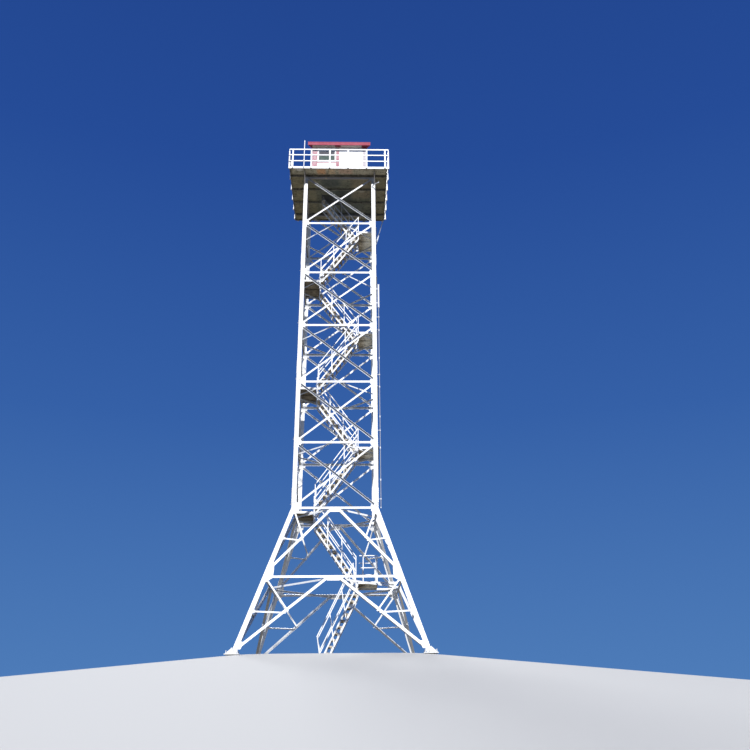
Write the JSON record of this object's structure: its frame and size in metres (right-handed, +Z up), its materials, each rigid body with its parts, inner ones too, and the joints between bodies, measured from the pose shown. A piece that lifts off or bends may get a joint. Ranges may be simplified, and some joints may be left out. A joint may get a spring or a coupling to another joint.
{
  "type": "fire lookout tower",
  "caption": "Four-legged steel lattice lookout tower with a flared base, dog-leg stair, railed platform and a small cabin with a red roof edge.",
  "frame": {"origin": "centre of the four base plates on the ground", "axes": "+Z up, the front face with the cabin's red-edged window towards -Y, +X to the right of someone who faces the front"},
  "size_m": [8.2928, 8.2928, 26.957],
  "materials": {
    "white_steel": "satin paint",
    "foot_steel": "satin paint, soiled",
    "tread_plate": "worn paint",
    "landing_plate": "weathered, rusty",
    "platform_steel": "weathered primer",
    "deck_plate": "weathered, rusty",
    "rail_paint": "satin paint",
    "conduit_paint": "satin paint",
    "wall_panel": "satin coated sheet",
    "door_paint": "satin paint",
    "frame_paint": "satin paint",
    "pane_glass": "clear",
    "red_paint": "satin paint",
    "roof_sheet": "coated sheet",
    "soffit_board": "matt paint"
  },
  "bodies": {
    "root": {"base_plates": "foot_steel", "lower_leg_front_left": "white_steel", "lower_leg_front_right": "white_steel", "lower_leg_back_left": "white_steel", "lower_leg_back_right": "white_steel", "upper_leg_front_left": "white_steel", "upper_leg_front_right": "white_steel", "upper_leg_back_left": "white_steel", "upper_leg_back_right": "white_steel", "front_lower_bracing": "white_steel", "right_lower_bracing": "white_steel", "back_lower_bracing": "white_steel", "left_lower_bracing": "white_steel", "front_upper_bracing": "white_steel", "right_upper_bracing": "white_steel", "back_upper_bracing": "white_steel", "left_upper_bracing": "white_steel", "plan_bracing": "white_steel", "front_flight_stringers": "white_steel", "rear_flight_stringers": "white_steel", "front_flight_treads": "tread_plate", "rear_flight_treads": "tread_plate", "flight_handrails": "rail_paint", "left_landings": "landing_plate", "right_landings": "landing_plate", "landing_rails": "rail_paint", "platform_frame": "platform_steel", "platform_deck": "deck_plate", "front_railing": "rail_paint", "right_railing": "rail_paint", "back_railing": "rail_paint", "left_railing": "rail_paint", "railing_pole": "rail_paint", "cable_conduit": "conduit_paint", "front_wall": "wall_panel", "right_wall": "wall_panel", "back_wall": "wall_panel", "left_wall": "wall_panel", "red_trim": "red_paint", "window_frames": "frame_paint", "window_panes": "pane_glass", "cabin_door": "door_paint", "ceiling": "soffit_board", "fascia": "red_paint", "roof": "roof_sheet"}
  },
  "joints": []
}
